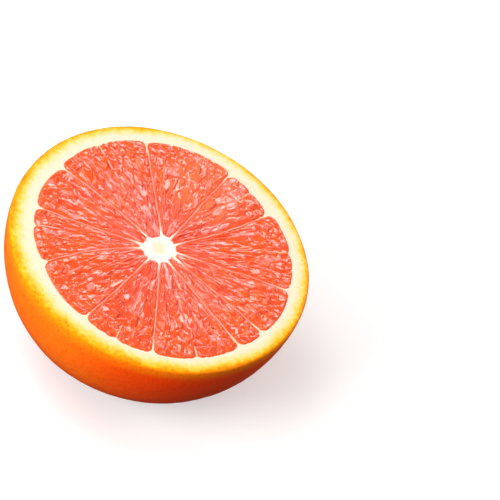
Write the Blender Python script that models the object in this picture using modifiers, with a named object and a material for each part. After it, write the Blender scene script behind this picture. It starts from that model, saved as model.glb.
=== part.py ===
"""Half of a large navel orange, cut across its middle and resting on its stem end with the cut face up.

Frame: the origin is where the stem end rests, +Z points up out of the cut face, and angles on the cut
face run counter-clockwise from +X as seen from above. One solid: skin and pith are a turned body, and
each segment of flesh is a pad that stands a little proud of the cut and is fused to it.
"""

import math
import random

import bmesh
import bpy
from mathutils import Vector

MM = 0.001

# Driving sizes of the whole half
RIM_RADIUS = 41.9 * MM
SKIN_DEPTH = 41.1 * MM
RIM_ROUNDING = 0.9 * MM

# The spot it rests on: a flat ring round the hollow of the stem end
REST_OUTER_RADIUS = 8.5 * MM
REST_INNER_RADIUS = 5.6 * MM
STEM_HOLLOW_DEPTH = 1.9 * MM
CALYX_RADIUS = 2.7 * MM
CALYX_HEIGHT = 1.0 * MM
CALYX_LOBES = 5
CALYX_LOBE_DEPTH = 0.16

# The cut plane is where the skin's curve would be widest
CUT_HEIGHT = SKIN_DEPTH * math.sqrt(1 - (REST_OUTER_RADIUS / RIM_RADIUS) ** 2)

# Turned body
TURN_STEPS = 72
SKIN_RINGS = 13
ROUNDING_RINGS = 3

# The rim isn't a true circle: (share of the radius, lobes round the rim, direction of the first lobe)
RIM_UNEVENNESS = ((0.0072, 1, 8.0), (0.0028, 2, 88.0), (0.0046, 3, 114.0), (0.0015, 4, 39.0))

# Membranes between the segments, by (direction at the core, direction at the pith, sideways bow)
CORE_RADIUS = 4.9 * MM
MEMBRANE_REACH = 35.5 * MM
MEMBRANES = (
    (69.0, 76.0, 0.0),
    (100.0, 115.0, 0.0),
    (156.5, 160.5, -0.7 * MM),
    (197.0, 188.5, 0.2 * MM),
    (213.0, 221.0, -1.6 * MM),
    (257.5, 253.7, 0.3 * MM),
    (290.0, 286.5, 0.2 * MM),
    (320.0, 327.0, 0.0),
    (350.0, 341.0, 0.0),
    (12.0, 9.0, 0.2 * MM),
    (44.5, 50.6, -0.9 * MM),
)

# Each segment lies between a membrane and the next one round, by (where its tip starts, reach at its first
# side, reach at its second side, directions of the notches in its outer edge)
SEGMENTS = (
    (4.6 * MM, 37.6 * MM, 37.1 * MM, ()),
    (3.4 * MM, 37.3 * MM, 35.8 * MM, (137.3,)),
    (3.7 * MM, 35.2 * MM, 35.4 * MM, ()),
    (5.2 * MM, 35.2 * MM, 34.9 * MM, (199.6,)),
    (4.5 * MM, 34.9 * MM, 36.1 * MM, ()),
    (4.8 * MM, 35.9 * MM, 37.4 * MM, (270.0,)),
    (4.5 * MM, 37.4 * MM, 37.4 * MM, (306.0,)),
    (3.9 * MM, 37.0 * MM, 37.2 * MM, ()),
    (4.9 * MM, 37.4 * MM, 37.4 * MM, ()),
    (4.4 * MM, 37.4 * MM, 37.5 * MM, (29.4,)),
    (4.3 * MM, 36.0 * MM, 37.0 * MM, (63.6,)),
)
SEGMENT_GAP = 0.7 * MM
OUTER_CORNER_RADIUS = 2.2 * MM
INNER_CORNER_RADIUS = 1.4 * MM
EDGE_SAG = 0.5 * MM
NOTCH_DEPTH = 0.8 * MM
NOTCH_WIDTH = 0.9 * MM

# Flesh standing proud of the cut, with its juice sacs as long low ridges
PAD_EDGE_HEIGHT = 0.12 * MM
PAD_DOME = 0.45 * MM
PAD_ROOT = 1.6 * MM
SAC_WIDTH = 2.6 * MM
SAC_RIDGE = 0.32 * MM
SAC_ROUGHNESS = 0.10 * MM
SAC_ROWS = 4
PAD_ROWS = 17
SEED = 7

# Finishes: colour, roughness, metallic
FINISHES = {
    "orange_skin": ((0.93, 0.23, 0.012), 0.42, 0.0),
    "pith": ((0.93, 0.83, 0.56), 0.75, 0.0),
    "flesh": ((0.86, 0.12, 0.045), 0.22, 0.0),
    "calyx": ((0.22, 0.26, 0.06), 0.70, 0.0),
}


def clear_scene():
    for obj in list(bpy.data.objects):
        bpy.data.objects.remove(obj, do_unlink=True)


def new_collection(name):
    collection = bpy.data.collections.new(name)
    bpy.context.scene.collection.children.link(collection)
    return collection


def finish(name):
    """One Principled material by its name in FINISHES."""
    colour, roughness, metallic = FINISHES[name]
    material = bpy.data.materials.new(name)
    material.use_nodes = True
    shader = material.node_tree.nodes["Principled BSDF"]
    shader.inputs["Base Color"].default_value = (*colour, 1.0)
    shader.inputs["Roughness"].default_value = roughness
    shader.inputs["Metallic"].default_value = metallic
    material.diffuse_color = (*colour, 1.0)
    return material


def mix(a, b, share):
    return a + (b - a) * share


def uneven(angle):
    """How much wider than a circle the fruit is in this direction, in radians."""
    return 1 + sum(
        size * math.cos(lobes * (angle - math.radians(direction)))
        for size, lobes, direction in RIM_UNEVENNESS
    )


def body_profile():
    """Outline of half the section, from the middle of the cut out to the rim and down to the stem end."""
    points = [(0.0, CUT_HEIGHT)]
    for ring in range(ROUNDING_RINGS + 1):
        turn = math.radians(90 * ring / ROUNDING_RINGS)
        points.append(
            (
                RIM_RADIUS - RIM_ROUNDING * (1 - math.sin(turn)),
                CUT_HEIGHT - RIM_ROUNDING * (1 - math.cos(turn)),
            )
        )
    first = math.asin(RIM_ROUNDING / SKIN_DEPTH)
    last = math.acos(REST_OUTER_RADIUS / RIM_RADIUS)
    for ring in range(1, SKIN_RINGS + 1):
        dip = mix(first, last, ring / SKIN_RINGS)
        points.append((RIM_RADIUS * math.cos(dip), CUT_HEIGHT - SKIN_DEPTH * math.sin(dip)))
    points[-1] = (REST_OUTER_RADIUS, 0.0)
    hollow_floor = mix(REST_INNER_RADIUS, CALYX_RADIUS, 0.7)
    points += [
        (REST_INNER_RADIUS, 0.0),
        (mix(REST_INNER_RADIUS, hollow_floor, 0.5), STEM_HOLLOW_DEPTH * 0.45),
        (hollow_floor, STEM_HOLLOW_DEPTH),
        (CALYX_RADIUS, STEM_HOLLOW_DEPTH),
        (CALYX_RADIUS * 0.9, STEM_HOLLOW_DEPTH - CALYX_HEIGHT),
        (CALYX_RADIUS * 0.4, STEM_HOLLOW_DEPTH - CALYX_HEIGHT * 0.75),
        (0.0, STEM_HOLLOW_DEPTH - CALYX_HEIGHT * 0.85),
    ]
    return points


def turned_body(collection):
    """The profile turned round the fruit's axis, as a mesh of its own."""
    profile = bpy.data.meshes.new("body_profile")
    points = [(x, 0.0, z) for x, z in body_profile()]
    profile.from_pydata(points, [(i, i + 1) for i in range(len(points) - 1)], [])
    turned = bpy.data.objects.new("body_profile", profile)
    collection.objects.link(turned)
    screw = turned.modifiers.new("Turn", "SCREW")
    screw.angle = math.tau
    screw.steps = TURN_STEPS
    screw.render_steps = TURN_STEPS
    screw.use_merge_vertices = True
    screw.merge_threshold = 0.01 * MM
    bpy.context.view_layer.update()
    mesh = bpy.data.meshes.new_from_object(turned.evaluated_get(bpy.context.evaluated_depsgraph_get()))
    bpy.data.objects.remove(turned, do_unlink=True)
    return mesh


def shape_body(mesh):
    """Takes the turned body off a true circle, and gives the calyx its lobes."""
    for vertex in mesh.vertices:
        angle = math.atan2(vertex.co.y, vertex.co.x)
        radius = math.hypot(vertex.co.x, vertex.co.y)
        width = uneven(angle)
        if radius < CALYX_RADIUS * 1.05 and vertex.co.z < STEM_HOLLOW_DEPTH * 0.9:
            width = 1 - CALYX_LOBE_DEPTH * (1 - math.cos(CALYX_LOBES * angle)) / 2
        elif radius < REST_INNER_RADIUS * 1.01 and vertex.co.z < CUT_HEIGHT / 2:
            width = 1.0
        vertex.co.x *= width
        vertex.co.y *= width


def membrane_direction(index, radius):
    """Direction of a membrane where it is this far from the middle, in radians."""
    at_core, at_pith, bow = MEMBRANES[index % len(MEMBRANES)]
    start = CORE_RADIUS * Vector((math.cos(math.radians(at_core)), math.sin(math.radians(at_core))))
    end = MEMBRANE_REACH * Vector((math.cos(math.radians(at_pith)), math.sin(math.radians(at_pith))))
    share = (radius - CORE_RADIUS) / (MEMBRANE_REACH - CORE_RADIUS)
    along = (end - start).normalized()
    point = start.lerp(end, share) + bow * 4 * share * (1 - share) * Vector((-along.y, along.x))
    return math.atan2(point.y, point.x)


def segment_sides(index, radius):
    """Directions of a segment's two sides this far from the middle, with the gap for the membranes."""
    gap = SEGMENT_GAP / 2 / radius
    first = membrane_direction(index, radius)
    second = membrane_direction(index + 1, radius)
    if second < first:
        second += math.tau
    return first + gap, second - gap


def rounded_end(across, half_width, corner):
    """How far an end of a segment draws back at this share of its half width, for a round corner."""
    past = max(0.0, abs(across) * half_width - (half_width - corner))
    return corner - math.sqrt(max(0.0, corner**2 - past**2))


def segment_reach(index, across):
    """Distance from the middle to a segment's outer edge, where across runs from -1 to 1."""
    _, reach_first, reach_second, notches = SEGMENTS[index]
    reach = mix(reach_first, reach_second, (across + 1) / 2)
    first, second = segment_sides(index, reach)
    half_width = (second - first) * reach / 2
    edge = reach - EDGE_SAG * across**2 - rounded_end(across, half_width, OUTER_CORNER_RADIUS)
    direction = mix(first, second, (across + 1) / 2)
    for notch in notches:
        turn = (direction - math.radians(notch) + math.pi) % math.tau - math.pi
        edge -= NOTCH_DEPTH * math.exp(-abs(turn) * reach / NOTCH_WIDTH)
    return edge


def segment_start(index, across):
    """Distance from the middle to a segment's inner tip."""
    tip = SEGMENTS[index][0]
    first, second = segment_sides(index, tip)
    half_width = max((second - first) * tip / 2, 0.2 * MM)
    corner = min(INNER_CORNER_RADIUS, half_width)
    return tip + rounded_end(across, half_width, corner)


def sacs_across(index):
    """How many juice sacs lie side by side near the outer edge of a segment."""
    reach = SEGMENTS[index][1]
    first, second = segment_sides(index, reach)
    return max(3, round((second - first) * reach / SAC_WIDTH))


def sac_height(column, row, draw):
    """Height of the flesh over its dome: a ridge along each sac, lower where one sac ends and the next starts."""
    sac = column // 2
    ridge = SAC_RIDGE if column % 2 else 0.0
    if (row + 2 * (sac % 2)) % SAC_ROWS == 0:
        ridge *= 0.35
    return ridge + draw.uniform(-SAC_ROUGHNESS, SAC_ROUGHNESS)


def segment_pad(index, collection):
    """One segment: a grid laid into its outline, raised as flesh, and closed by extruding it into the fruit."""
    columns = 2 * sacs_across(index)
    draw = random.Random(SEED + index)
    bm = bmesh.new()
    bmesh.ops.create_grid(bm, x_segments=columns, y_segments=PAD_ROWS, size=1.0)
    for vertex in bm.verts:
        even_across, along = vertex.co.x, (vertex.co.y + 1) / 2
        column, row = round((even_across + 1) / 2 * columns), round(along * PAD_ROWS)
        across = mix(even_across, math.sin(even_across * math.pi / 2), 0.6)
        radius = mix(segment_start(index, across), segment_reach(index, across), along)
        first, second = segment_sides(index, radius)
        direction = mix(first, second, (across + 1) / 2)
        on_edge = column in (0, columns) or row in (0, PAD_ROWS)
        dome = PAD_DOME * (1 - across**4) * math.sin(math.pi * along) ** 0.35
        sac_width = (second - first) * radius / columns * 2
        relief = sac_height(column, row, draw) * min(1.0, sac_width / SAC_WIDTH)
        height = PAD_EDGE_HEIGHT if on_edge else PAD_EDGE_HEIGHT + dome + relief
        vertex.co = (radius * math.cos(direction), radius * math.sin(direction), CUT_HEIGHT + height)
    extruded = bmesh.ops.extrude_face_region(bm, geom=list(bm.faces), use_keep_orig=True)
    for element in extruded["geom"]:
        if isinstance(element, bmesh.types.BMVert):
            element.co.z = CUT_HEIGHT - PAD_ROOT
    bmesh.ops.recalc_face_normals(bm, faces=bm.faces)
    mesh = bpy.data.meshes.new(f"segment_{index + 1:02d}")
    bm.to_mesh(mesh)
    bm.free()
    collection.objects.link(bpy.data.objects.new(mesh.name, mesh))


def fuse(body, collection):
    """Joins the segments to the body, then removes them."""
    union = body.modifiers.new("Fuse", "BOOLEAN")
    union.operation = "UNION"
    union.operand_type = "COLLECTION"
    union.collection = collection
    union.solver = "EXACT"
    bpy.context.view_layer.update()
    fused = bpy.data.meshes.new_from_object(body.evaluated_get(bpy.context.evaluated_depsgraph_get()))
    body.modifiers.remove(union)
    body.data = fused
    for pad in list(collection.objects):
        bpy.data.objects.remove(pad, do_unlink=True)
    bpy.data.collections.remove(collection)


def paint(body):
    """Gives skin, pith, flesh and calyx their own finish, by where each face lies."""
    body.data.materials.clear()
    slots = {}
    for name in FINISHES:
        slots[name] = len(body.data.materials)
        body.data.materials.append(finish(name))
    skin_edge = CUT_HEIGHT - RIM_ROUNDING * 0.05
    for face in body.data.polygons:
        centre = face.center
        name = "orange_skin"
        if centre.z > CUT_HEIGHT + 0.01 * MM:
            name = "flesh"
        elif centre.z > skin_edge:
            name = "pith"
        elif math.hypot(centre.x, centre.y) < CALYX_RADIUS and centre.z < STEM_HOLLOW_DEPTH:
            name = "calyx"
        face.material_index = slots[name]


def build():
    clear_scene()
    fruit = new_collection("orange_half")
    pads = new_collection("segments")
    mesh = turned_body(fruit)
    shape_body(mesh)
    mesh.name = "orange_half"
    body = bpy.data.objects.new("orange_half", mesh)
    fruit.objects.link(body)
    for index in range(len(SEGMENTS)):
        segment_pad(index, pads)
    fuse(body, pads)
    paint(body)
    body.data.shade_smooth()
    body.data.set_sharp_from_angle(angle=math.radians(40))


build()
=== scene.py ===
"""Half of a large orange, cut face up: rind, pith, core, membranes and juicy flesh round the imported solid.

Frame: the origin is where the stem end rests, +Z points up out of the cut face, and directions on the cut
face run counter-clockwise from +X as seen from above. Sizes are in metres.
"""

import math
import random

import bmesh
import bpy
import numpy as np
from mathutils import Matrix, Vector


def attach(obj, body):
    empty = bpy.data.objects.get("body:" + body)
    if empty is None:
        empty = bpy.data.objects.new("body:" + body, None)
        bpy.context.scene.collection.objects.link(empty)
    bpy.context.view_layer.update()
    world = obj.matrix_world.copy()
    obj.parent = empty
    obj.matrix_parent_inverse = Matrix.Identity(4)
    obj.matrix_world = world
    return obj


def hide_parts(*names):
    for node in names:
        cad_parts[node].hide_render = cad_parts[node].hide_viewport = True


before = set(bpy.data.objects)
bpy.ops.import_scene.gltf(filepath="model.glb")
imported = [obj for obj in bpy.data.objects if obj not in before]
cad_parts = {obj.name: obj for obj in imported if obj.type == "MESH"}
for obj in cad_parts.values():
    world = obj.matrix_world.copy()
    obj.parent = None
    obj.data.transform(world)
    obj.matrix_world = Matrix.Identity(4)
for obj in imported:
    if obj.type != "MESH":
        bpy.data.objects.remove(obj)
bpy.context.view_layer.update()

MM = 0.001

# Driving sizes of the half, the same as the solid's
RIM_RADIUS = 41.9 * MM
SKIN_DEPTH = 41.1 * MM
RIM_ROUNDING = 0.9 * MM
REST_OUTER_RADIUS = 8.5 * MM
REST_INNER_RADIUS = 5.6 * MM
STEM_HOLLOW_DEPTH = 1.9 * MM
CALYX_RADIUS = 2.7 * MM
CUT_HEIGHT = SKIN_DEPTH * math.sqrt(1 - (REST_OUTER_RADIUS / RIM_RADIUS) ** 2)
RIM_UNEVENNESS = ((0.0072, 1, 8.0), (0.0028, 2, 88.0), (0.0046, 3, 114.0), (0.0015, 4, 39.0))

# Membranes between the segments, by (direction at the core, direction at the pith, sideways bow)
CORE_RADIUS = 4.9 * MM
MEMBRANE_REACH = 35.5 * MM
MEMBRANES = (
    (69.0, 76.0, 0.0),
    (100.0, 115.0, 0.0),
    (156.5, 160.5, -0.7 * MM),
    (197.0, 188.5, 0.2 * MM),
    (213.0, 221.0, -1.6 * MM),
    (257.5, 253.7, 0.3 * MM),
    (290.0, 286.5, 0.2 * MM),
    (320.0, 327.0, 0.0),
    (350.0, 341.0, 0.0),
    (12.0, 9.0, 0.2 * MM),
    (44.5, 50.6, -0.9 * MM),
)

# Each segment lies between a membrane and the next one round, by (where its tip starts, reach at its first
# side, reach at its second side, directions of the notches in its outer edge)
SEGMENTS = (
    (4.6 * MM, 37.6 * MM, 37.1 * MM, ()),
    (3.4 * MM, 37.3 * MM, 35.8 * MM, (137.3,)),
    (3.7 * MM, 35.2 * MM, 35.4 * MM, ()),
    (5.2 * MM, 35.2 * MM, 34.9 * MM, (199.6,)),
    (4.5 * MM, 34.9 * MM, 36.1 * MM, ()),
    (4.8 * MM, 35.9 * MM, 37.4 * MM, (270.0,)),
    (4.5 * MM, 37.4 * MM, 37.4 * MM, (306.0,)),
    (3.9 * MM, 37.0 * MM, 37.2 * MM, ()),
    (4.9 * MM, 37.4 * MM, 37.4 * MM, ()),
    (4.4 * MM, 37.4 * MM, 37.5 * MM, (29.4,)),
    (4.3 * MM, 36.0 * MM, 37.0 * MM, (63.6,)),
)
PART_MEMBRANES = (
    (137.3, 19.0 * MM),
    (199.6, 9.0 * MM),
    (270.0, 6.0 * MM),
    (306.0, 5.0 * MM),
    (29.4, 9.0 * MM),
    (63.6, 10.0 * MM),
)
MEMBRANE_RISE = 0.06 * MM
PART_MEMBRANE_RISE = 0.34 * MM
SEGMENT_GAP = 0.25 * MM
OUTER_CORNER_RADIUS = 2.0 * MM
INNER_CORNER_RADIUS = 1.4 * MM
EDGE_SAG = 0.5 * MM
NOTCH_DEPTH = 0.9 * MM
NOTCH_WIDTH = 0.8 * MM

# Flesh. It is paler round one place, a painted sheen, and its folds are shorter within a distance of the
# middle
FLESH_GRID = 0.18 * MM
FLESH_ROOT = 1.6 * MM
GLINT_SHEEN_PLACE = (4.0 * MM, 27.0 * MM, CUT_HEIGHT)
SAC_WIDTH = 2.5 * MM
SHORT_FOLDS_WITHIN = 16.0 * MM
SEED = 11

# Peel and pith. The flesh lies in a recess of the peel, and the band of colours on the cut is narrowest in
# one direction
PEEL_COLUMNS = 640
BED_RADIUS = 33.0 * MM
BED_DEPTH = 2.0 * MM
PITH_DEPTH = 4.0 * MM
BAND_UNEVENNESS = 0.22
BAND_NARROWEST_AT = 70.0
GLAND_COUNT = 260

# Core and calyx
CORE_COLUMNS = 400
CALYX_COLUMNS = 90
CALYX_DROP = 0.85 * MM

# The photograph's view: the middle of the cut lies at this pixel, and this many pixels make a millimetre
PHOTO_SIDE = 500
CUT_MIDDLE_PIXEL = (159, 248)
PIXELS_PER_MM = 3.738
VIEW_ELEVATION = 47.36
VIEW_ROLL = 25.0
LENS = 800.0
SENSOR = 36.0
LIGHT_DISTANCE = 0.9
FLOOR_REACH = 3.0


def linear(level):
    """Linear light of one channel of a colour, which runs from 0 to 255."""
    return level / 255 / 12.92 if level < 11 else ((level / 255 + 0.055) / 1.055) ** 2.4


def srgb(red, green, blue):
    """A colour as a paint program shows it, from 0 to 255, as linear light."""
    return linear(red), linear(green), linear(blue)


# Node trees written as formulas


class Field:
    """A number that changes over a surface, as a socket of a node tree."""

    def __init__(self, maker, socket):
        self.maker, self.socket = maker, socket

    def math(self, operation, *others):
        node = self.maker.add("ShaderNodeMath", operation=operation)
        for socket, value in zip(node.inputs, (self, *others)):
            self.maker.feed(socket, value)
        return Field(self.maker, node.outputs[0])

    def __add__(self, other):
        return self.math("ADD", other)

    def __sub__(self, other):
        return self.math("SUBTRACT", other)

    def __mul__(self, other):
        return self.math("MULTIPLY", other)

    def __truediv__(self, other):
        return self.math("DIVIDE", other)

    def __pow__(self, other):
        return self.math("POWER", other)

    def __rsub__(self, other):
        return self * -1.0 + other

    def __rtruediv__(self, other):
        return self**-1.0 * other

    def smooth(self, low, high, to_low=0.0, to_high=1.0):
        """Eases from one value to another while this field goes from low to high."""
        node = self.maker.add("ShaderNodeMapRange", interpolation_type="SMOOTHSTEP")
        for socket, value in zip(node.inputs, (self, low, high, to_low, to_high)):
            self.maker.feed(socket, value)
        return Field(self.maker, node.outputs[0])


class Maker:
    """Adds nodes to one node tree, geometry or shader alike."""

    def __init__(self, tree):
        self.tree = tree

    def feed(self, socket, value):
        value = value.socket if isinstance(value, Field) else value
        if isinstance(value, bpy.types.NodeSocket):
            self.tree.links.new(value, socket)
        else:
            socket.default_value = value

    def add(self, kind, inputs=None, **settings):
        node = self.tree.nodes.new(kind)
        for name, value in settings.items():
            setattr(node, name, value)
        for name, value in (inputs or {}).items():
            self.feed(node.inputs[name], value)
        return node

    def field(self, kind, output, inputs=None, **settings):
        return Field(self, self.add(kind, inputs, **settings).outputs[output])

    def vector(self, x=0.0, y=0.0, z=0.0):
        return self.add("ShaderNodeCombineXYZ", {"X": x, "Y": y, "Z": z}).outputs[0]

    def split(self, vector):
        node = self.add("ShaderNodeSeparateXYZ", {"Vector": vector})
        return [Field(self, socket) for socket in node.outputs]

    def vector_math(self, operation, *values):
        node = self.add("ShaderNodeVectorMath", operation=operation)
        sockets = [socket for socket in node.inputs if socket.enabled and socket.type == "VECTOR"]
        for socket, value in zip(sockets, values):
            self.feed(socket, value)
        return node.outputs["Value" if operation == "DISTANCE" else "Vector"]

    def scaled(self, vector, scale):
        node = self.add("ShaderNodeVectorMath", {"Vector": vector, "Scale": scale}, operation="SCALE")
        return node.outputs[0]

    def noise(self, vector, scale, detail=2.0, roughness=0.5, curl=0.0, output="Fac"):
        inputs = {"Vector": vector, "Scale": scale, "Detail": detail}
        inputs |= {"Roughness": roughness, "Distortion": curl}
        return self.field("ShaderNodeTexNoise", output, inputs)

    def voronoi(self, vector, feature="F1", scale=1.0):
        return self.add("ShaderNodeTexVoronoi", {"Vector": vector, "Scale": scale}, feature=feature)

    def mix(self, share, first, second):
        """The colour that lies this share of the way from the first to the second."""
        node = self.add("ShaderNodeMix", data_type="RGBA")
        for index, value in ((0, share), (6, first), (7, second)):
            value = (*value, 1.0) if isinstance(value, tuple) else value
            self.feed(node.inputs[index], value)
        return node.outputs[2]

    def ramp(self, share, stops):
        """A colour picked from (place, colour) stops."""
        node = self.add("ShaderNodeValToRGB", {"Fac": share})
        while len(node.color_ramp.elements) < len(stops):
            node.color_ramp.elements.new(1.0)
        for element, (place, colour) in zip(node.color_ramp.elements, stops):
            element.position, element.color = place, (*colour, 1.0)
        return node.outputs[0]


# Sizes that follow the fruit


def mix(a, b, share):
    return a + (b - a) * share


def uneven(angle):
    """How much wider than a circle the fruit is in this direction, in radians."""
    return 1 + sum(
        size * np.cos(lobes * (angle - math.radians(direction)))
        for size, lobes, direction in RIM_UNEVENNESS
    )


def membrane_point(index, radius):
    """Place on the cut of a membrane where it is this far out."""
    at_core, at_pith, bow = MEMBRANES[index % len(MEMBRANES)]
    start = CORE_RADIUS * Vector((math.cos(math.radians(at_core)), math.sin(math.radians(at_core))))
    end = MEMBRANE_REACH * Vector((math.cos(math.radians(at_pith)), math.sin(math.radians(at_pith))))
    share = (radius - CORE_RADIUS) / (MEMBRANE_REACH - CORE_RADIUS)
    along = (end - start).normalized()
    bulge = bow * 4 * share * (1 - share)
    x = mix(start.x, end.x, share) - bulge * along.y
    y = mix(start.y, end.y, share) + bulge * along.x
    return x, y


def membrane_direction(index, radius):
    x, y = membrane_point(index, radius)
    return np.arctan2(y, x)


def segment_sides(index, radius):
    """Directions of a segment's two sides this far from the middle, with the gap for the membranes."""
    gap = SEGMENT_GAP / 2 / radius
    first = membrane_direction(index, radius)
    second = membrane_direction(index + 1, radius)
    second = np.where(second < first, second + math.tau, second)
    return first + gap, second - gap


def rounded_end(across, half_width, corner):
    """How far an end of a segment draws back at this share of its half width, for a round corner."""
    past = np.maximum(0.0, np.abs(across) * half_width - (half_width - corner))
    return corner - np.sqrt(np.maximum(0.0, corner**2 - past**2))


def segment_reach(index, across):
    """Distance from the middle to a segment's outer edge, where across runs from -1 to 1."""
    _, reach_first, reach_second, notches = SEGMENTS[index]
    reach = mix(reach_first, reach_second, (across + 1) / 2)
    first, second = segment_sides(index, reach)
    half_width = (second - first) * reach / 2
    edge = reach - EDGE_SAG * across**2 - rounded_end(across, half_width, OUTER_CORNER_RADIUS)
    direction = mix(first, second, (across + 1) / 2)
    for notch in notches:
        turn = (direction - math.radians(notch) + math.pi) % math.tau - math.pi
        edge -= NOTCH_DEPTH * np.exp(-np.abs(turn) * reach / NOTCH_WIDTH)
    return edge


def segment_start(index, across):
    """Distance from the middle to a segment's inner tip."""
    tip = SEGMENTS[index][0]
    first, second = segment_sides(index, np.full_like(across, tip))
    half_width = np.maximum((second - first) * tip / 2, 0.2 * MM)
    return tip + rounded_end(across, half_width, np.minimum(INNER_CORNER_RADIUS, half_width))


def flesh_edge_radius(direction):
    """Where the flesh ends in this direction, over all the segments, from a table filled once."""
    return np.interp(direction % math.tau, *FLESH_EDGE, period=math.tau)


def flesh_edge_table():
    directions, radii = [], []
    for index in range(len(SEGMENTS)):
        across = np.linspace(-1, 1, 80)
        radius = segment_reach(index, across)
        first, second = segment_sides(index, radius)
        directions.append(mix(first, second, (across + 1) / 2) % math.tau)
        radii.append(radius)
    directions, radii = np.concatenate(directions), np.concatenate(radii)
    order = np.argsort(directions)
    return directions[order], radii[order]


FLESH_EDGE = flesh_edge_table()


# Meshes


def put_attribute(mesh, name, values):
    attribute = mesh.attributes.new(name, "FLOAT", "POINT")
    attribute.data.foreach_set("value", np.asarray(values, np.float32))


def points_of(mesh):
    points = np.empty(len(mesh.vertices) * 3, np.float32)
    mesh.vertices.foreach_get("co", points)
    return points.reshape(-1, 3).astype(float)


def set_points(mesh, points):
    mesh.vertices.foreach_set("co", points.astype(np.float32).ravel())
    mesh.update()


def linked(name, mesh):
    obj = bpy.data.objects.new(name, mesh)
    bpy.context.scene.collection.objects.link(obj)
    return obj


def turned(name, profile, columns):
    """A closed body turned about the fruit's axis. The profile starts and ends on the axis."""
    rings = np.array(profile[1:-1])
    angles = np.arange(columns) * math.tau / columns
    x = rings[:, :1] * np.cos(angles)
    y = rings[:, :1] * np.sin(angles)
    z = np.repeat(rings[:, 1:2], columns, axis=1)
    points = [(0.0, 0.0, profile[0][1]), (0.0, 0.0, profile[-1][1])]
    points += np.stack([x, y, z], axis=-1).reshape(-1, 3).tolist()
    after = [(column + 1) % columns for column in range(columns)]
    faces = []
    for ring in range(len(rings) - 1):
        low, high = 2 + ring * columns, 2 + (ring + 1) * columns
        faces += [(low + c, high + c, high + after[c], low + after[c]) for c in range(columns)]
    last = 2 + (len(rings) - 1) * columns
    faces += [(0, 2 + c, 2 + after[c]) for c in range(columns)]
    faces += [(1, last + after[c], last + c) for c in range(columns)]
    mesh = bpy.data.meshes.new(name)
    mesh.from_pydata(points, [], faces)
    return linked(name, mesh)


def face_outwards(mesh):
    bm = bmesh.new()
    bm.from_mesh(mesh)
    bmesh.ops.recalc_face_normals(bm, faces=bm.faces)
    bm.to_mesh(mesh)
    bm.free()


def modifier_tree(name, sockets):
    """An empty Geometry Nodes tree with named inputs, its maker, and its inputs by name."""
    tree = bpy.data.node_groups.new(name, "GeometryNodeTree")
    tree.interface.new_socket("Geometry", in_out="INPUT", socket_type="NodeSocketGeometry")
    for socket, kind in sockets.items():
        tree.interface.new_socket(socket, in_out="INPUT", socket_type=f"NodeSocket{kind}")
    tree.interface.new_socket("Geometry", in_out="OUTPUT", socket_type="NodeSocketGeometry")
    maker = Maker(tree)
    start = maker.add("NodeGroupInput")
    given = {socket.name: socket for socket in start.outputs}
    for name, kind in sockets.items():
        if kind in ("Float", "Int"):
            given[name] = Field(maker, given[name])
    return tree, maker, given


def end_tree(maker, geometry, material):
    """Realizes what was placed, smooths it and gives it its material."""
    realized = maker.add("GeometryNodeRealizeInstances", {"Geometry": geometry})
    smooth = maker.add("GeometryNodeSetShadeSmooth", {"Geometry": realized.outputs[0]})
    dressed = maker.add("GeometryNodeSetMaterial", {"Geometry": smooth.outputs[0], "Material": material})
    end = maker.add("NodeGroupOutput")
    maker.tree.links.new(dressed.outputs[0], end.inputs["Geometry"])


def stored(maker, geometry, name, value):
    inputs = {"Geometry": geometry, "Name": name, "Value": value}
    return maker.add("GeometryNodeStoreNamedAttribute", inputs, data_type="FLOAT", domain="POINT").outputs[0]


def read_attribute(maker, name):
    return maker.field("GeometryNodeInputNamedAttribute", "Attribute", {"Name": name}, data_type="FLOAT")


def grow(obj, tree, **values):
    """Runs a Geometry Nodes tree on the object and keeps the result as its plain mesh."""
    modifier = obj.modifiers.new(tree.name, "NODES")
    modifier.node_group = tree
    identifiers = {
        item.name: item.identifier
        for item in tree.interface.items_tree
        if item.item_type == "SOCKET" and item.in_out == "INPUT"
    }
    for name, value in values.items():
        modifier[identifiers[name.replace("_", " ")]] = value
    bpy.context.view_layer.update()
    evaluated = obj.evaluated_get(bpy.context.evaluated_depsgraph_get())
    mesh = bpy.data.meshes.new_from_object(evaluated)
    obj.modifiers.remove(modifier)
    old, obj.data = obj.data, mesh
    bpy.data.meshes.remove(old)
    mesh.name = obj.name
    return obj


# Finishes


def fine_grain_group():
    """Shader group: soft mottling and a fine bump, used by every finish of the fruit."""
    tree = bpy.data.node_groups.new("fine_grain", "ShaderNodeTree")
    for name, value in (("Scale", 900.0), ("Bump", 0.1), ("Height", 0.0)):
        socket = tree.interface.new_socket(name, in_out="INPUT", socket_type="NodeSocketFloat")
        socket.default_value = value
    tree.interface.new_socket("Mottle", in_out="OUTPUT", socket_type="NodeSocketFloat")
    tree.interface.new_socket("Fleck", in_out="OUTPUT", socket_type="NodeSocketFloat")
    tree.interface.new_socket("Normal", in_out="OUTPUT", socket_type="NodeSocketVector")
    maker = Maker(tree)
    given = maker.add("NodeGroupInput")
    scale = Field(maker, given.outputs["Scale"])
    place = maker.add("ShaderNodeTexCoord").outputs["Object"]
    mottle = maker.noise(place, scale * 0.22, detail=3.0, roughness=0.6)
    fleck = maker.noise(place, scale)
    height = fleck * 0.5 + mottle * 0.5 + Field(maker, given.outputs["Height"])
    inputs = {"Strength": given.outputs["Bump"], "Distance": 0.1 * MM, "Height": height}
    bump = maker.add("ShaderNodeBump", inputs)
    end = maker.add("NodeGroupOutput")
    for name, value in (("Mottle", mottle), ("Fleck", fleck), ("Normal", bump.outputs[0])):
        maker.feed(end.inputs[name], value)
    return tree


GRAIN = fine_grain_group()


def finish(name):
    """A new material, the maker of its nodes, and its Principled shader."""
    material = bpy.data.materials.new(name)
    material.use_nodes = True
    maker = Maker(material.node_tree)
    return material, maker, material.node_tree.nodes["Principled BSDF"]


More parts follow.
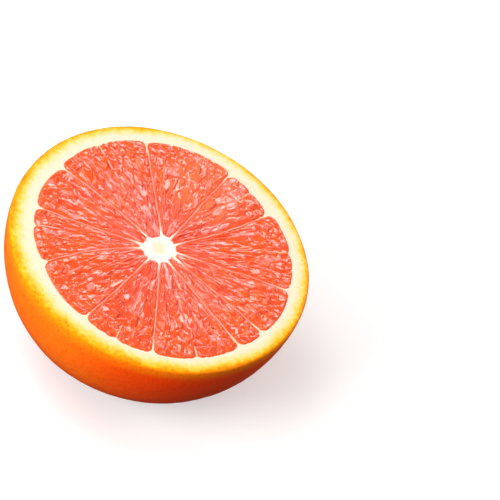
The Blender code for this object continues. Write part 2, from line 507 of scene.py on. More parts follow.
def grain(maker, scale, bump, height=0.0):
    return maker.add("ShaderNodeGroup", {"Scale": scale, "Bump": bump, "Height": height}, node_tree=GRAIN)


def attribute(maker, name):
    return maker.field("ShaderNodeAttribute", "Fac", attribute_name=name)


def set_plain(shader, **values):
    for name, value in values.items():
        shader.inputs[name.replace("_", " ")].default_value = value


def peel_finish():
    """Skin outside, and on the cut the band that runs from oily orange through yellow to cream pith."""
    material, maker, shader = finish("peel")
    place = maker.add("ShaderNodeTexCoord").outputs["Object"]
    depth = attribute(maker, "peel_depth")
    on_cut = depth.smooth(0.0, 0.5 * MM)

    # Fine pits between the pores of the skin
    cells = Field(maker, maker.voronoi(place, scale=720.0).outputs["Distance"])
    pits = cells.smooth(0.42, 0.08) * (1.0 - on_cut)
    fine = grain(maker, 1500.0, 0.5, pits * -1.0)

    # The band on the cut, by depth under the skin, with a ragged start and specks of oil
    ragged = (maker.noise(place, 800.0, detail=3.0) - 0.5) * (2.6 * MM)
    ragged = ragged + (maker.noise(place, 190.0) - 0.5) * (2.2 * MM)
    band = maker.ramp(
        (depth + ragged * on_cut) / PITH_DEPTH,
        (
            (0.00, srgb(253, 128, 2)),
            (0.07, srgb(254, 145, 2)),
            (0.24, srgb(254, 177, 24)),
            (0.44, srgb(252, 201, 88)),
            (0.62, srgb(250, 210, 136)),
            (0.80, srgb(248, 215, 172)),
            (1.00, srgb(248, 219, 190)),
        ),
    )
    oily = maker.noise(place, 480.0).smooth(0.52, 0.66) * depth.smooth(2.0 * MM, 0.7 * MM)
    band = maker.mix(oily * 0.55, band, srgb(252, 158, 14))
    near_flesh = attribute(maker, "flesh_distance").smooth(0.5 * MM, 0.05 * MM)
    band = maker.mix(near_flesh * 0.6, band, srgb(253, 222, 196))

    # Orange skin with darker specks, golden just under the cut. Painted shade makes it redder below and on
    # one side, and darker in its pores and pits
    x, y, height = maker.split(place)
    skin = maker.mix(maker.noise(place, 90.0, detail=3.0), srgb(255, 105, 13), srgb(255, 123, 17))
    # Painted shade: redder towards the bottom
    skin = maker.mix(height.smooth(25.0 * MM, 10.0 * MM, 0.0, 0.85), skin, srgb(234, 50, 0))
    # Painted shade: redder on one side
    painted_side_shade = (x * 0.64 - y * 0.77 + maker.noise(place, 60.0) * (6.0 * MM)).smooth(22.0 * MM, 45.0 * MM)
    skin = maker.mix(painted_side_shade * 0.78, skin, srgb(240, 34, 0))
    golden = height.smooth(CUT_HEIGHT - 5.0 * MM, CUT_HEIGHT - 0.3 * MM)
    skin = maker.mix(golden * 0.58, skin, srgb(255, 158, 8))
    specks = Field(maker, fine.outputs["Fleck"]).smooth(0.42, 0.68)
    # Painted shade in the pores and pits, and darker specks of the skin itself
    pore_shade_and_specks = attribute(maker, "pore") * 0.3 + pits * 0.35 + specks * 0.25
    skin = maker.mix(pore_shade_and_specks, skin, srgb(226, 62, 0))

    maker.feed(shader.inputs["Base Color"], maker.mix(depth.smooth(0.0, 0.14 * MM), skin, band))
    rough = Field(maker, fine.outputs["Mottle"]) * 0.2 + on_cut.smooth(0.0, 1.0, 0.30, 0.52)
    maker.feed(shader.inputs["Roughness"], rough)
    maker.feed(shader.inputs["Normal"], fine.outputs["Normal"])
    set_plain(shader, Subsurface_Weight=0.08, Subsurface_Scale=1.2 * MM, Subsurface_Radius=(1.0, 0.4, 0.1))
    set_plain(shader, Specular_IOR_Level=0.1)
    return material


def core_finish():
    """White spongy core that turns to thin salmon skin between the segments."""
    material, maker, shader = finish("core_pith")
    place = maker.add("ShaderNodeTexCoord").outputs["Object"]
    x, y, _ = maker.split(place)
    reach = (x * x + y * y) ** 0.5 + (maker.noise(place, 500.0) - 0.5) * (1.6 * MM)
    fine = grain(maker, 1100.0, 0.35)
    white = maker.mix(maker.noise(place, 800.0), srgb(255, 220, 208), srgb(255, 228, 222))
    heart = maker.mix(reach.smooth(0.8 * MM, 3.0 * MM), srgb(255, 214, 178), white)
    colour = maker.mix(reach.smooth(5.2 * MM, 9.0 * MM), heart, srgb(255, 144, 118))
    maker.feed(shader.inputs["Base Color"], colour)
    maker.feed(shader.inputs["Normal"], fine.outputs["Normal"])
    set_plain(shader, Roughness=0.55, Subsurface_Weight=0.2, Subsurface_Scale=1.5 * MM)
    return material


def membrane_finish(name, by_pith):
    """Thin skin between segments: white by the core, wet salmon, and then the given colour by the pith."""
    material, maker, shader = finish(name)
    place = maker.add("ShaderNodeTexCoord").outputs["Object"]
    x, y, _ = maker.split(place)
    radius = (x * x + y * y) ** 0.5 + (maker.noise(place, 300.0) - 0.5) * (3.0 * MM)
    fine = grain(maker, 1300.0, 0.2)
    mottle = Field(maker, fine.outputs["Mottle"]).smooth(0.35, 0.65)
    middle = maker.mix(mottle, srgb(255, 122, 100), srgb(255, 156, 136))
    inner = maker.mix(radius.smooth(4.0 * MM, 9.0 * MM), srgb(255, 236, 218), middle)
    colour = maker.mix(radius.smooth(30.5 * MM, 35.5 * MM), inner, by_pith)
    maker.feed(shader.inputs["Base Color"], colour)
    maker.feed(shader.inputs["Normal"], fine.outputs["Normal"])
    set_plain(shader, Roughness=0.3, Subsurface_Weight=0.3, Subsurface_Scale=1.0 * MM)
    return material


def flesh_finish():
    """Wet flesh, pink by the core and orange by the pith, each juice sac a little its own colour.

    Painted shade makes the creases between the sacs and the rims round the pale patches deeper red; the
    pale patches are painted highlights, and one place is paler with a painted sheen."""
    material, maker, shader = finish("flesh")
    place = maker.add("ShaderNodeTexCoord").outputs["Object"]
    fine = grain(maker, 2200.0, 0.03)
    tone = attribute(maker, "sac_tone")
    crease_shade = attribute(maker, "sac_crease_shade")
    border = attribute(maker, "edge_distance").smooth(1.4 * MM, 0.1 * MM)
    # Painted sheen: paler round one place, standing in for glints there
    painted_sheen = Field(maker, maker.vector_math("DISTANCE", place, GLINT_SHEEN_PLACE)).smooth(17.0 * MM, 6.0 * MM)
    x, y, _ = maker.split(place)
    radius = (x * x + y * y) ** 0.5
    by_pith = radius.smooth(20.0 * MM, 34.0 * MM)
    patches = maker.noise(place, 110.0).smooth(0.35, 0.65)
    pink = (patches + radius.smooth(20.0 * MM, 8.0 * MM)).math("MINIMUM", 1.2) * (1.0 - by_pith * 0.8)
    deep = maker.mix(pink * 0.8, srgb(234, 74, 4), srgb(232, 76, 42))
    pale = maker.mix(pink * 0.8, srgb(239, 86, 10), srgb(236, 88, 60))
    sacs = maker.mix(tone.smooth(0.1, 0.9), deep, pale)
    sacs = maker.mix(painted_sheen * 0.4, sacs, srgb(246, 130, 84))
    sacs = maker.mix(border * 0.6, sacs, srgb(248, 84, 12))
    # Painted shade: deeper red in the creases and round the pale patches
    sacs = maker.mix(crease_shade * 0.5, sacs, srgb(210, 44, 14))
    # Painted highlights: pale pink patches
    painted_glint = attribute(maker, "sac_glint_paint") * (0.85 - by_pith * 0.35)
    colour = maker.mix(painted_glint, sacs, srgb(250, 144, 132))
    maker.feed(shader.inputs["Base Color"], colour)
    maker.feed(shader.inputs["Roughness"], Field(maker, fine.outputs["Mottle"]) * 0.06 + 0.03)
    maker.feed(shader.inputs["Normal"], fine.outputs["Normal"])
    set_plain(shader, Subsurface_Weight=0.35, Subsurface_Scale=1.2 * MM, Subsurface_Radius=(1.0, 0.3, 0.15))
    set_plain(shader, Specular_IOR_Level=0.4, Coat_Weight=0.3, Coat_Roughness=0.04)
    return material


def gland_finish():
    """Cut oil glands: small wet beads of deeper orange in the rim."""
    material, maker, shader = finish("oil_gland")
    place = maker.add("ShaderNodeTexCoord").outputs["Object"]
    fine = grain(maker, 1800.0, 0.15)
    colour = maker.mix(maker.noise(place, 350.0).smooth(0.35, 0.65), srgb(253, 160, 6), srgb(255, 194, 24))
    maker.feed(shader.inputs["Base Color"], colour)
    maker.feed(shader.inputs["Roughness"], Field(maker, fine.outputs["Fleck"]) * 0.2 + 0.4)
    set_plain(shader, Specular_IOR_Level=0.1, Subsurface_Weight=0.2, Subsurface_Scale=0.8 * MM)
    return material


def calyx_finish():
    """Dry green-brown button at the stem end."""
    material, maker, shader = finish("calyx")
    place = maker.add("ShaderNodeTexCoord").outputs["Object"]
    fine = grain(maker, 1600.0, 0.6)
    colour = maker.mix(maker.noise(place, 900.0, detail=3.0), srgb(96, 110, 40), srgb(150, 128, 74))
    maker.feed(shader.inputs["Base Color"], colour)
    maker.feed(shader.inputs["Normal"], fine.outputs["Normal"])
    set_plain(shader, Roughness=0.75)
    return material


def floor_finish():
    """A pale floor. It throws back little light, so that the half stays dark underneath."""
    material, maker, shader = finish("studio_floor")
    place = maker.add("ShaderNodeTexCoord").outputs["Object"]
    pale = maker.mix(maker.noise(place, 3.0), srgb(251, 251, 250), srgb(253, 253, 252))
    seen = maker.add("ShaderNodeLightPath").outputs["Is Camera Ray"]
    maker.feed(shader.inputs["Base Color"], maker.mix(seen, srgb(72, 69, 66), pale))
    maker.feed(shader.inputs["Emission Strength"], Field(maker, seen) * 0.14)
    set_plain(shader, Roughness=0.7, Emission_Color=(1.0, 1.0, 1.0, 1.0))
    return material


# Peel


def peel_profile():
    """From the middle of the recess for the flesh, out over the cut and round the skin to the stem end."""
    cut_rings, rounding_rings, skin_rings = 27, 5, 96
    floor_height = CUT_HEIGHT - BED_DEPTH
    points = [(0.0, floor_height), (BED_RADIUS, floor_height)]
    rim_start = RIM_RADIUS - RIM_ROUNDING
    for ring in range(cut_rings):
        points.append((mix(BED_RADIUS, rim_start, ring / cut_rings), CUT_HEIGHT))
    for ring in range(rounding_rings + 1):
        turn = math.radians(90 * ring / rounding_rings)
        out, down = math.sin(turn), 1 - math.cos(turn)
        points.append((rim_start + RIM_ROUNDING * out, CUT_HEIGHT - RIM_ROUNDING * down))
    first = math.asin(RIM_ROUNDING / SKIN_DEPTH)
    last = math.acos(REST_OUTER_RADIUS / RIM_RADIUS)
    for ring in range(1, skin_rings + 1):
        dip = mix(first, last, ring / skin_rings)
        points.append((RIM_RADIUS * math.cos(dip), CUT_HEIGHT - SKIN_DEPTH * math.sin(dip)))
    points[-1] = (REST_OUTER_RADIUS, 0.0)
    for share in (0.25, 0.5, 0.75, 1.0):
        points.append((mix(REST_OUTER_RADIUS, REST_INNER_RADIUS, share), 0.0))
    for share in (0.2, 0.4, 0.6, 0.8, 1.0):
        sink = (1 - math.cos(math.pi * share)) / 2
        points.append((mix(REST_INNER_RADIUS, CALYX_RADIUS * 0.9, share), STEM_HOLLOW_DEPTH * sink))
    points.append((0.0, STEM_HOLLOW_DEPTH))
    return points


def peel_tree():
    """Geometry Nodes: dimples the skin with pores and lets it undulate, but keeps its flat ring flat."""
    sockets = {
        "Pore Spacing": "Float",
        "Pore Depth": "Float",
        "Wave": "Float",
        "Seed": "Float",
        "Material": "Material",
    }
    tree, maker, given = modifier_tree("orange_peel", sockets)
    place = maker.add("GeometryNodeInputPosition").outputs[0]
    normal = maker.add("GeometryNodeInputNormal").outputs[0]
    outside = read_attribute(maker, "outside")
    _, _, height = maker.split(place)
    clear_of_rest = height.smooth(0.2 * MM, 5.0 * MM)
    shifted = maker.vector_math("ADD", place, maker.vector(given["Seed"], 0.0, 0.0))
    wobble = maker.noise(shifted, 260.0, output="Color")
    bent = maker.vector_math("ADD", shifted, maker.scaled(wobble.socket, 0.5 * MM))
    cells = maker.voronoi(bent, scale=1.0 / given["Pore Spacing"])
    distance = Field(maker, cells.outputs["Distance"])
    size = Field(maker, maker.split(cells.outputs["Color"])[0].socket)
    pit = distance.smooth(size * 0.25 + 0.18, 0.0)
    swell = maker.noise(shifted, 430.0) - 0.5
    broad = maker.noise(shifted, 45.0, detail=1.0) - 0.5
    rise = (swell * given["Pore Depth"] * 0.9 - pit * given["Pore Depth"]) * outside
    rise = (rise + broad * given["Wave"] * outside) * clear_of_rest
    move = maker.scaled(normal, rise.socket)
    moved = maker.add("GeometryNodeSetPosition", {"Geometry": given["Geometry"], "Offset": move})
    kept = stored(maker, moved.outputs[0], "pore", pit * outside)
    end_tree(maker, kept, given["Material"])
    return tree


def make_peel():
    peel = turned("peel", peel_profile(), PEEL_COLUMNS)
    mesh = peel.data
    face_outwards(mesh)
    points = points_of(mesh)
    angle = np.arctan2(points[:, 1], points[:, 0])
    radius = np.hypot(points[:, 0], points[:, 1])
    in_hollow = (radius < REST_INNER_RADIUS * 1.01) & (points[:, 2] < CUT_HEIGHT / 2)
    width = np.where(in_hollow, 1.0, uneven(angle))
    on_cut = points[:, 2] > CUT_HEIGHT - RIM_ROUNDING * 1.01
    narrowing = 1 + BAND_UNEVENNESS * np.cos(angle - math.radians(BAND_NARROWEST_AT))
    depth = np.where(on_cut, (RIM_RADIUS - radius) * narrowing, 0.0)
    points[:, 0] *= width
    points[:, 1] *= width
    set_points(mesh, points)
    put_attribute(mesh, "peel_depth", np.maximum(depth, 0.0))
    flat = on_cut & (radius < RIM_RADIUS - RIM_ROUNDING * 0.99)
    put_attribute(mesh, "outside", np.where(flat, 0.0, 1.0))
    gap = np.where(flat, radius * width - flesh_edge_radius(angle), 1.0)
    put_attribute(mesh, "flesh_distance", np.maximum(gap, 0.0))
    return grow(
        peel,
        peel_tree(),
        Pore_Spacing=1.4 * MM,
        Pore_Depth=0.16 * MM,
        Wave=0.5 * MM,
        Seed=3.0,
        Material=peel_finish(),
    )


# Glands in the cut rim


def gland_tree():
    """Geometry Nodes: beads set unevenly along the cut rim, just under the skin."""
    sockets = {"Bead Radius": "Float", "Spread": "Float", "Seed": "Int", "Material": "Material"}
    tree, maker, given = modifier_tree("rim_glands", sockets)
    chance = maker.add("FunctionNodeRandomValue", {"Seed": given["Seed"]}, data_type="FLOAT")
    moves = maker.add("FunctionNodeRandomValue", {"Seed": given["Seed"] + 1.0}, data_type="FLOAT_VECTOR")
    moves.inputs["Min"].default_value = (-1.0, -1.0, -1.0)
    offset = maker.scaled(moves.outputs["Value"], given["Spread"].socket)
    flat = maker.vector_math("MULTIPLY", offset, (1.0, 1.0, 0.05))
    points = maker.add("GeometryNodeMeshToPoints", {"Mesh": given["Geometry"]})
    jittered = maker.add("GeometryNodeSetPosition", {"Geometry": points.outputs[0], "Offset": flat})
    bead = maker.add("GeometryNodeMeshIcoSphere", {"Radius": given["Bead Radius"], "Subdivisions": 2})
    size = Field(maker, chance.outputs[1]) * 0.8 + 0.35
    squash = maker.vector(size, size * 0.8, size * 0.08)
    turn = maker.vector(0.0, 0.0, Field(maker, moves.outputs["Value"]) * 3.0)
    placed = maker.add(
        "GeometryNodeInstanceOnPoints",
        {"Points": jittered.outputs[0], "Instance": bead.outputs[0], "Scale": squash, "Rotation": turn},
    )
    end_tree(maker, placed.outputs[0], given["Material"])
    return tree


def make_glands():
    draw = random.Random(SEED)
    points = []
    while len(points) < GLAND_COUNT:
        angle = draw.uniform(0, math.tau)
        depth = draw.uniform(0.95, 1.3) * MM + abs(draw.gauss(0, 0.4)) * MM
        radius = RIM_RADIUS * float(uneven(angle)) - depth
        points.append((radius * math.cos(angle), radius * math.sin(angle), CUT_HEIGHT - 0.03 * MM))
    mesh = bpy.data.meshes.new("rim_glands")
    mesh.from_pydata(points, [], [])
    glands = linked("rim_glands", mesh)
    sizes = {"Bead_Radius": 0.42 * MM, "Spread": 0.12 * MM}
    return grow(glands, gland_tree(), **sizes, Seed=5, Material=gland_finish())


# Core, and the floor of the recess between the segments


def core_profile():
    """A disc with fine rings in its middle, where it shows as the core."""
    edge, bottom = BED_RADIUS + 0.4 * MM, CUT_HEIGHT - BED_DEPTH - 0.2 * MM
    fine, coarse = 51, 22
    radii = [0.15 * MM * ring for ring in range(1, fine + 1)]
    radii += [mix(radii[-1], edge, ring / coarse) for ring in range(1, coarse + 1)]
    top = [(radius, CUT_HEIGHT) for radius in radii]
    return [(0.0, CUT_HEIGHT)] + top + [(edge, bottom), (0.0, bottom)]


def core_tree():
    """Geometry Nodes: gives the core its spongy lumps and fibres that run out along the membranes."""
    sockets = {"Core Radius": "Float", "Lump": "Float", "Sink": "Float", "Material": "Material"}
    tree, maker, given = modifier_tree("core_sponge", sockets)
    place = maker.add("GeometryNodeInputPosition").outputs[0]
    x, y, z = maker.split(place)
    radius = (x * x + y * y) ** 0.5
    turn = y.math("ARCTAN2", x)
    fibres = maker.noise(maker.vector(turn * 9.0, radius * 260.0, 0.0), 1.0) - 0.5
    fibres = fibres * radius.smooth(0.4 * MM, 2.5 * MM)
    lumps = maker.noise(place, 650.0, detail=3.0) - 0.5
    in_core = radius.smooth(given["Core Radius"] * 1.4, given["Core Radius"] * 0.9)
    on_top = z.smooth(CUT_HEIGHT - 0.5 * MM, CUT_HEIGHT - 0.1 * MM)
    rise = (fibres * 0.7 + lumps + 0.1) * given["Lump"] * in_core - (1.0 - in_core) * given["Sink"]
    lift = maker.vector(0.0, 0.0, rise * on_top)
    moved = maker.add("GeometryNodeSetPosition", {"Geometry": given["Geometry"], "Offset": lift})
    end_tree(maker, moved.outputs[0], given["Material"])
    return tree


def make_core():
    core = turned("core", core_profile(), CORE_COLUMNS)
    face_outwards(core.data)
    sizes = {"Core_Radius": CORE_RADIUS, "Lump": 0.3 * MM, "Sink": 0.08 * MM}
    return grow(core, core_tree(), **sizes, Material=core_finish())


# Membranes


def membrane_tree():
    """Geometry Nodes: a thin wall swept along each line from the core outwards, uneven in thickness.

    Inner End is its thickness at the end by the core, as a share of its thickness in the middle, and
    Flatten is the share of its height that it loses."""
    sockets = {
        "Thickness": "Float",
        "Inner End": "Float",
        "Flatten": "Float",
        "Wander": "Float",
        "Material": "Material",
    }
    tree, maker, given = modifier_tree("membrane_walls", sockets)
    line = maker.add("GeometryNodeMeshToCurve", {"Mesh": given["Geometry"]})
    inputs = {"Curve": line.outputs[0], "Length": 0.35 * MM}
    fine = maker.add("GeometryNodeResampleCurve", inputs, mode="LENGTH")
    place = maker.add("GeometryNodeInputPosition").outputs[0]
    drift = maker.noise(place, 220.0, output="Color")
    drift = maker.vector_math("SUBTRACT", drift.socket, (0.5, 0.5, 0.5))
    drift = maker.vector_math("MULTIPLY", drift, (1.0, 1.0, 0.25))
    moved = maker.add(
        "GeometryNodeSetPosition",
        {"Geometry": fine.outputs[0], "Offset": maker.scaled(drift, given["Wander"].socket)},
    )
    share = maker.field("GeometryNodeSplineParameter", "Factor")
    ends = share.smooth(0.0, 0.3, given["Inner End"], 1.0) * share.smooth(0.9, 1.0, 1.0, 0.7)
    uneven_width = maker.noise(place, 500.0) * 0.8 + 0.6
    half = given["Thickness"] * 0.5 * ends * uneven_width
    sized = maker.add("GeometryNodeSetCurveRadius", {"Curve": moved.outputs[0], "Radius": half})
    ring = maker.add("GeometryNodeCurvePrimitiveCircle", {"Resolution": 8, "Radius": 1.0})
    inputs = {"Curve": sized.outputs[0], "Profile Curve": ring.outputs[0], "Fill Caps": True}
    inputs |= {"Scale": maker.field("GeometryNodeInputRadius", 0)}
    swept = maker.add("GeometryNodeCurveToMesh", inputs)
    _, _, height = maker.split(place)
    lower = maker.vector(0.0, 0.0, (height - (CUT_HEIGHT + MEMBRANE_RISE)) * given["Flatten"] * -1.0)
    flat = maker.add("GeometryNodeSetPosition", {"Geometry": swept.outputs[0], "Offset": lower})
    end_tree(maker, flat.outputs[0], given["Material"])
    return tree


def lines(name, runs):
    """An object of open polylines."""
    points, edges = [], []
    for run in runs:
        edges += [(len(points) + step, len(points) + step + 1) for step in range(len(run) - 1)]
        points += run
    mesh = bpy.data.meshes.new(name)
    mesh.from_pydata(points, edges, [])
    return linked(name, mesh)


def membrane_run(index):
    """A membrane between two segments, from the core to where their round corners part."""
    end = min(SEGMENTS[index - 1][2], SEGMENTS[index][1]) - EDGE_SAG - OUTER_CORNER_RADIUS * 0.8
    radii = np.linspace(CORE_RADIUS * 0.9, end, 24)
    x, y = membrane_point(index, radii)
    return [(float(a), float(b), CUT_HEIGHT + MEMBRANE_RISE) for a, b in zip(x, y)]


def part_run(direction, length):
    """A membrane that ends inside a segment. It comes out of the flesh and goes down to the notch in it."""
    turn = math.radians(direction)
    outer = float(flesh_edge_radius(turn)) + 0.1 * MM
    points = []
    for radius in np.linspace(outer - length, outer, 16).tolist():
        up = min(1.0, (outer - radius) / (1.6 * MM)) * min(1.0, (radius - outer + length) / (4.0 * MM))
        height = CUT_HEIGHT + MEMBRANE_RISE + PART_MEMBRANE_RISE * up
        points.append((radius * math.cos(turn), radius * math.sin(turn), height))
    return points


def make_membranes():
    tree = membrane_tree()
    pale = membrane_finish("membrane", srgb(254, 208, 176))
    juicy = membrane_finish("juicy_membrane", srgb(255, 170, 128))
    whole = lines("membranes", [membrane_run(index) for index in range(len(MEMBRANES))])
    part = lines("part_membranes", [part_run(*run) for run in PART_MEMBRANES])
    grow(whole, tree, Thickness=0.46 * MM, Inner_End=1.7, Flatten=0.45, Wander=0.8 * MM, Material=pale)
    grow(part, tree, Thickness=0.5 * MM, Inner_End=0.1, Flatten=0.3, Wander=0.8 * MM, Material=juicy)
    for piece in (whole, part):
        face_outwards(piece.data)
    return [whole, part]


# Flesh


def segment_sheet(index):
    """A fine flat grid laid into a segment's outline, with walls and a floor that close it below."""
    _, reach, _, _ = SEGMENTS[index]
    first, second = segment_sides(index, np.array([reach]))
    columns = round(float(second[0] - first[0]) * reach / FLESH_GRID)
    rows = round((reach - CORE_RADIUS) / FLESH_GRID)
    even, along = np.meshgrid(np.linspace(-1, 1, columns + 1), np.linspace(0, 1, rows + 1))
    grid = np.arange(even.size).reshape(even.shape)
    rim = np.concatenate([grid[0, :-1], grid[:-1, -1], grid[-1, :0:-1], grid[:0:-1, 0]])
    low = grid.size + np.arange(rim.size)
    sheet = np.stack([grid[:-1, :-1], grid[1:, :-1], grid[1:, 1:], grid[:-1, 1:]], axis=-1)
    walls = np.stack([rim, np.roll(rim, -1), np.roll(low, -1), low], axis=-1)
    faces = sheet.reshape(-1, 4).tolist() + walls.tolist() + [low.tolist()]
    even, along = np.append(even, even.flat[rim]), np.append(along, along.flat[rim])
    top = np.arange(even.size) < grid.size
    across = mix(even, np.sin(even * math.pi / 2), 0.6)
    start, end = segment_start(index, across), segment_reach(index, across)
    radius = mix(start, end, along)
    first, second = segment_sides(index, radius)
    direction = mix(first, second, (across + 1) / 2)
    to_side = (1 - np.abs(across)) / 2 * (second - first) * radius
    edge = np.minimum(to_side, np.minimum(radius - start, end - radius))
    x, y = radius * np.cos(direction), radius * np.sin(direction)
    height = np.where(top, CUT_HEIGHT, CUT_HEIGHT - FLESH_ROOT)
    mesh = bpy.data.meshes.new(f"segment_{index + 1:02d}")
    mesh.from_pydata(np.stack([x, y, height], axis=1).tolist(), [], faces)
    put_attribute(mesh, "edge_distance", np.maximum(edge, 0.0))
    put_attribute(mesh, "top", top)
    return linked(mesh.name, mesh)


def sac_layer(maker, around, outward, width, length, shift):
    """One layer of sacs: (height over the creases, crease to paint shade in, tone), in the layer's own
    random draw.

    Each sac swells from its crease to its own level, and its top leans its own way."""
    where = maker.vector(around, outward, shift)
    cells = maker.voronoi(where)
    walls = maker.voronoi(where, feature="DISTANCE_TO_EDGE")
    to_wall = Field(maker, walls.outputs["Distance"])
    red, green, blue = maker.split(cells.outputs["Color"])
    centre = maker.split(cells.outputs["Position"])
    inside_u = (around - centre[0]) * width
    inside_v = (outward - centre[1]) * length
    lean = inside_u * (red - 0.5) * 0.8 + inside_v * (green - 0.5) * 0.32
    near = (to_wall / 0.2).math("MINIMUM", 1.0)
    swell = near * (2.0 - near)
    level = blue * 0.12 * MM + 0.06 * MM
    narrow = (width / (1.1 * MM)).math("MINIMUM", 1.0)
    height = (level * narrow + lean) * swell
    return height, to_wall.smooth(0.09, 0.0), green


def flesh_tree():
    """Geometry Nodes: packs a flat segment with juice sacs that point at the core.

    The sacs are cells of a pattern laid round the core, so they taper inwards, and two such layers
    overlap where one stands higher than the other. Wet folds and small curls of skin lie over them,
    shorter by the core. The creases between the sacs are kept for painted shade, and where the folds and
    curls stand highest they get pale patches, painted highlights, with painted shade round their rims."""
    sockets = {
        "Middle": "Float",
        "Reach": "Float",
        "Sac Width": "Float",
        "Swirl": "Float",
        "Dome": "Float",
        "Seed": "Float",
        "Material": "Material",
    }
    tree, maker, given = modifier_tree("juice_sacs", sockets)
    place = maker.add("GeometryNodeInputPosition").outputs[0]
    x, y, _ = maker.split(place)
    seeded = maker.vector_math("ADD", place, maker.vector(0.0, 0.0, given["Seed"]))
    plain_radius = (x * x + y * y) ** 0.5
    swirl = maker.split(maker.noise(seeded, 170.0, detail=1.0, output="Color").socket)
    bend = plain_radius.smooth(8.0 * MM, 36.0 * MM, 0.25, 1.0) * given["Swirl"]
    x = x + (swirl[0] - 0.5) * bend
    y = y + (swirl[1] - 0.5) * bend
    cosine, sine = given["Middle"].math("COSINE"), given["Middle"].math("SINE")
    forward = x * cosine + y * sine
    sideways = y * cosine - x * sine
    radius = (forward * forward + sideways * sideways) ** 0.5
    turn = sideways.math("ARCTAN2", forward)
    taper = (radius / given["Reach"]) ** 0.25
    width = given["Sac Width"] * radius / given["Reach"] / taper
    around = turn * given["Reach"] / given["Sac Width"] * taper
    in_mm = radius / MM
    crowded = radius.smooth(given["Reach"] * 0.78, given["Reach"])
    outward = in_mm * 0.075 + in_mm * in_mm * 0.003 + crowded
    length = MM / (in_mm * 0.006 + 0.075 + crowded * 0.1)
    seed = given["Seed"] * 7.31
    first, first_crease_shade, first_tone = sac_layer(maker, around, outward, width, length, seed)
    second, second_crease_shade, second_tone = sac_layer(
        maker, around * 0.8 + 3.7, outward * 1.25 + 9.1, width * 1.25, length * 0.8, seed + 5.0
    )
    second = second - 0.06 * MM
    over = (first - second).smooth(-0.01 * MM, 0.01 * MM)
    height = first.math("MAXIMUM", second)
    tone = first_tone * over + second_tone * (1.0 - over)
    crease_shade = first_crease_shade * over + second_crease_shade * (1.0 - over)
    by_core = in_mm.math("MINIMUM", SHORT_FOLDS_WITHIN / MM) - SHORT_FOLDS_WITHIN / MM
    folds_at = maker.vector(around * 0.7, outward * 0.42 + by_core * 0.14, seed)
    curls_at = maker.vector(around * 1.3, outward * 0.65 + by_core * 0.2, seed)
    folds = maker.noise(folds_at, 1.0, detail=1.0, curl=0.5)
    curls = maker.noise(curls_at, 1.0, detail=0.0, curl=0.6)
    wet = folds.smooth(0.46, 0.54) * (0.13 * MM) + curls.smooth(0.46, 0.54) * (0.08 * MM)
    wet = wet * (width / (0.8 * MM)).math("MINIMUM", 1.0)
    # Pale patches painted as highlights where the folds and curls stand highest, and painted shade round
    # their rims
    glint_folds = folds - by_core * 0.005
    painted_glint = glint_folds.smooth(0.66, 0.675).math("MAXIMUM", curls.smooth(0.71, 0.73))
    outline_shade = glint_folds.smooth(0.62, 0.66).math("MAXIMUM", curls.smooth(0.66, 0.71)) * (1.0 - painted_glint)
    edge = read_attribute(maker, "edge_distance")
    top = read_attribute(maker, "top")
    settle = edge.smooth(0.0, 0.7 * MM)
    dome = edge.smooth(0.0, 6.0 * MM) * given["Dome"]
    rise = (height + wet + dome).math("MAXIMUM", 0.0) * settle + settle * 0.05 * MM - 0.02 * MM
    lift = maker.vector(0.0, 0.0, rise * top)
    moved = maker.add("GeometryNodeSetPosition", {"Geometry": given["Geometry"], "Offset": lift})
    kept = stored(maker, moved.outputs[0], "sac_tone", tone)
    # Painted shade for the creases and rims, then the painted highlights
    kept = stored(maker, kept, "sac_crease_shade", crease_shade.math("MAXIMUM", outline_shade) * settle)
    kept = stored(maker, kept, "sac_glint_paint", painted_glint * settle)
    end_tree(maker, kept, given["Material"])
    return tree


def make_segments():
    tree, material = flesh_tree(), flesh_finish()
    segments = []
    for index, (_, reach, _, _) in enumerate(SEGMENTS):
        segment = segment_sheet(index)
        first, second = segment_sides(index, np.array([20 * MM]))
        middle = float(first[0] + second[0]) / 2
        grow(
            segment,
            tree,
            Middle=middle,
            Reach=reach,
            Sac_Width=SAC_WIDTH,
            Swirl=2.2 * MM,
            Dome=0.10 * MM,
            Seed=float(index + SEED),
            Material=material,
        )
        segments.append(segment)
    return segments


# Calyx


def make_calyx():
    """The small five-lobed button in the hollow of the stem end."""
    top = STEM_HOLLOW_DEPTH + 0.3 * MM
    profile = [(0.0, STEM_HOLLOW_DEPTH - CALYX_DROP)]
    for share in (0.15, 0.3, 0.45, 0.6, 0.75, 0.9, 1.0):
        dent = 0.12 * MM * math.exp(-(((share - 0.3) / 0.12) ** 2))
        drop = CALYX_DROP * math.sqrt(1 - 0.8 * share**2) - dent
        profile.append((CALYX_RADIUS * share, STEM_HOLLOW_DEPTH - drop))
    profile += [(CALYX_RADIUS * 0.95, top), (0.0, top)]
    calyx = turned("calyx", profile, CALYX_COLUMNS)
    points = points_of(calyx.data)
    angle = np.arctan2(points[:, 1], points[:, 0])
    lobes = 1 - 0.16 * (1 - np.cos(5 * angle)) / 2
    points[:, 0] *= lobes
    points[:, 1] *= lobes
    set_points(calyx.data, points)
    face_outwards(calyx.data)
    calyx.data.materials.append(calyx_finish())
    calyx.data.shade_smooth()
    return calyx


# Studio


def camera_axes():
    """The photograph's right, up and towards-the-camera directions."""
    lift, roll = math.radians(VIEW_ELEVATION), math.radians(VIEW_ROLL)
    back = Vector((0.0, -math.cos(lift), math.sin(lift)))
    level_right, level_up = Vector((1.0, 0.0, 0.0)), Vector((0.0, math.sin(lift), math.cos(lift)))
    right = level_right * math.cos(roll) + level_up * math.sin(roll)
    up = level_up * math.cos(roll) - level_right * math.sin(roll)
    return right, up, back


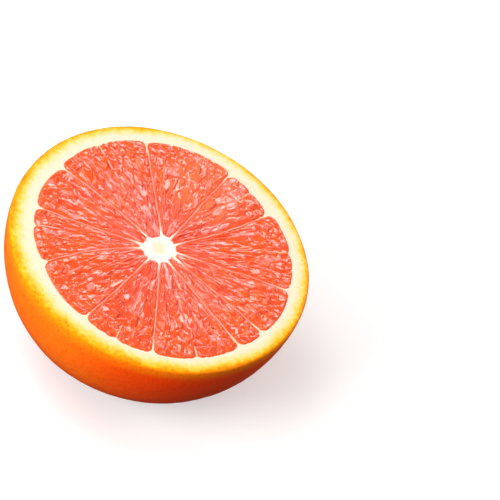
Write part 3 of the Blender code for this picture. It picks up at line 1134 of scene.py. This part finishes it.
def make_camera():
    right, up, back = camera_axes()
    column, row = CUT_MIDDLE_PIXEL
    aside = (PHOTO_SIDE / 2 - column) / PIXELS_PER_MM * MM
    above = (row - PHOTO_SIDE / 2) / PIXELS_PER_MM * MM
    centre = Vector((0.0, 0.0, CUT_HEIGHT)) + right * aside + up * above
    distance = PHOTO_SIDE / PIXELS_PER_MM * MM * LENS / SENSOR
    data = bpy.data.cameras.new("camera")
    data.lens, data.sensor_width = LENS, SENSOR
    data.clip_start, data.clip_end = 0.1, 20.0
    camera = bpy.data.objects.new("camera", data)
    turn = Matrix((right, up, back)).transposed()
    camera.matrix_world = Matrix.Translation(centre + back * distance) @ turn.to_4x4()
    bpy.context.scene.collection.objects.link(camera)
    bpy.context.scene.camera = camera


def softbox(name, direction, side, power, lights=True, mirrored=True):
    """A square light that faces the middle of the cut from a studio's distance.

    It may be one that only lights what is there, or one that is only mirrored by wet surfaces."""
    data = bpy.data.lights.new(name, "AREA")
    data.shape, data.size, data.energy = "SQUARE", side, power
    light = bpy.data.objects.new(name, data)
    light.visible_diffuse, light.visible_glossy = lights, mirrored
    back = Vector(direction).normalized()
    light.rotation_mode = "QUATERNION"
    light.rotation_quaternion = (-back).to_track_quat("-Z", "Y")
    light.location = Vector((0.0, 0.0, CUT_HEIGHT)) + back * LIGHT_DISTANCE
    bpy.context.scene.collection.objects.link(light)


def make_studio():
    mesh = bpy.data.meshes.new("floor")
    corners = [(FLOOR_REACH * x, FLOOR_REACH * y, 0.0) for x, y in ((-1, -1), (1, -1), (1, 1), (-1, 1))]
    mesh.from_pydata(corners, [], [(0, 1, 2, 3)])
    mesh.materials.append(floor_finish())
    linked("floor", mesh)
    softbox("key", (-0.48, 0.05, 0.81), side=0.55, power=2.8)
    softbox("fill", (-0.62, -0.68, 0.36), side=0.5, power=10.4, mirrored=False)
    softbox("back_fill", (0.55, 0.82, 0.13), side=0.5, power=4.5, mirrored=False)
    softbox("glint", (0.0, 0.835, 0.55), side=0.36, power=2.8, lights=False)
    world = bpy.data.worlds.new("studio")
    world.use_nodes = True
    background = world.node_tree.nodes["Background"]
    background.inputs["Color"].default_value = (1.0, 1.0, 1.0, 1.0)
    background.inputs["Strength"].default_value = 0.57
    bpy.context.scene.world = world
    bpy.context.scene.view_settings.view_transform = "Standard"


def main():
    pieces = [make_peel(), make_glands(), make_core(), *make_membranes(), make_calyx(), *make_segments()]
    for piece in pieces:
        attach(piece, "root")
        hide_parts("orange_half")
    make_studio()
    make_camera()


main()
